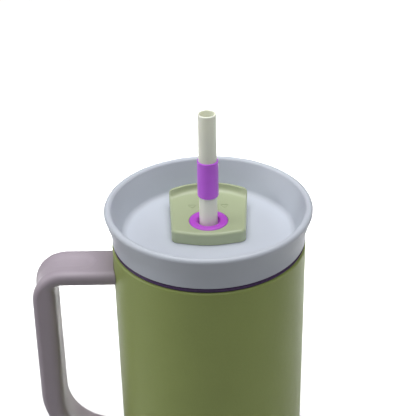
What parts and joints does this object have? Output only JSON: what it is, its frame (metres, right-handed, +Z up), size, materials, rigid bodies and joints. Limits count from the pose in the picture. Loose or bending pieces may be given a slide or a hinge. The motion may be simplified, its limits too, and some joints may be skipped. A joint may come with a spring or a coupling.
{
  "type": "insulated tumbler",
  "caption": "Double-walled steel tumbler with a side handle, a push-in flared lid, a lift-out plug and a drinking straw held in a soft grommet.",
  "frame": {"origin": "centre of the underside of the base pad, on the tumbler's axis", "axes": "+Z up along the tumbler's axis, handle on the -X side, front of the lid plug towards -Y"},
  "size_m": [0.1485, 0.1084, 0.3019],
  "materials": {
    "shell_coat": "fine textured powder coat, satin",
    "liner_steel": "bare stainless steel, brushed round the axis",
    "base_steel": "bare stainless steel, pressed",
    "seal_solder": "dull solder",
    "getter_metal": "dull pressed metal",
    "bracket_steel": "pressed stainless steel, welded",
    "screw_steel": "zinc plated",
    "base_silicone": "matte silicone",
    "handle_plastic": "fine moulded texture, matte",
    "grip_rubber": "soft-touch, matte",
    "gasket_silicone": "satin silicone",
    "lid_plastic": "satin moulded plastic",
    "plug_plastic": "satin moulded plastic",
    "stem_plastic": "satin moulded plastic",
    "grommet_silicone": "satin silicone",
    "sleeve_silicone": "satin silicone",
    "straw_plastic": "milky, slightly see-through moulded plastic"
  },
  "bodies": {
    "cup": {"outer_shell": "shell_coat", "inner_liner": "liner_steel", "liner_floor": "liner_steel", "base_pan": "base_steel", "vacuum_seal": "seal_solder", "base_pad": "base_silicone", "getter_capsule": "getter_metal", "handle_frame": "handle_plastic", "handle_grip": "grip_rubber", "handle_bracket_upper": "bracket_steel", "handle_bracket_lower": "bracket_steel", "handle_screw_upper_front": "screw_steel", "handle_screw_upper_back": "screw_steel", "handle_screw_lower_front": "screw_steel", "handle_screw_lower_back": "screw_steel"},
    "lid_seal": {"lid_gasket": "gasket_silicone"},
    "lid": {"lid_shell": "lid_plastic", "lid_base": "lid_plastic"},
    "plug": {"plug_cover": "plug_plastic", "plug_stem": "stem_plastic", "plug_gasket": "gasket_silicone", "straw_grommet": "grommet_silicone"},
    "straw": {"straw_tube": "straw_plastic", "straw_sleeve": "sleeve_silicone"}
  },
  "joints": [
    {"name": "lid_lift", "type": "slide", "parent": "cup", "child": "lid_seal", "axis": [0, 0, 1], "range_m": [0, 0.226]},
    {"name": "lid_turn", "type": "hinge", "parent": "lid_seal", "child": "lid", "pos_m": [0, 0, 0.2307], "axis": [0, 0, 1], "continuous": true},
    {"name": "plug_lift", "type": "slide", "parent": "lid", "child": "plug", "axis": [0, 0, 1], "range_m": [0, 0.246]},
    {"name": "straw_slide", "type": "slide", "parent": "plug", "child": "straw", "axis": [0, 0, 1], "range_m": [0, 0.24]}
  ]
}
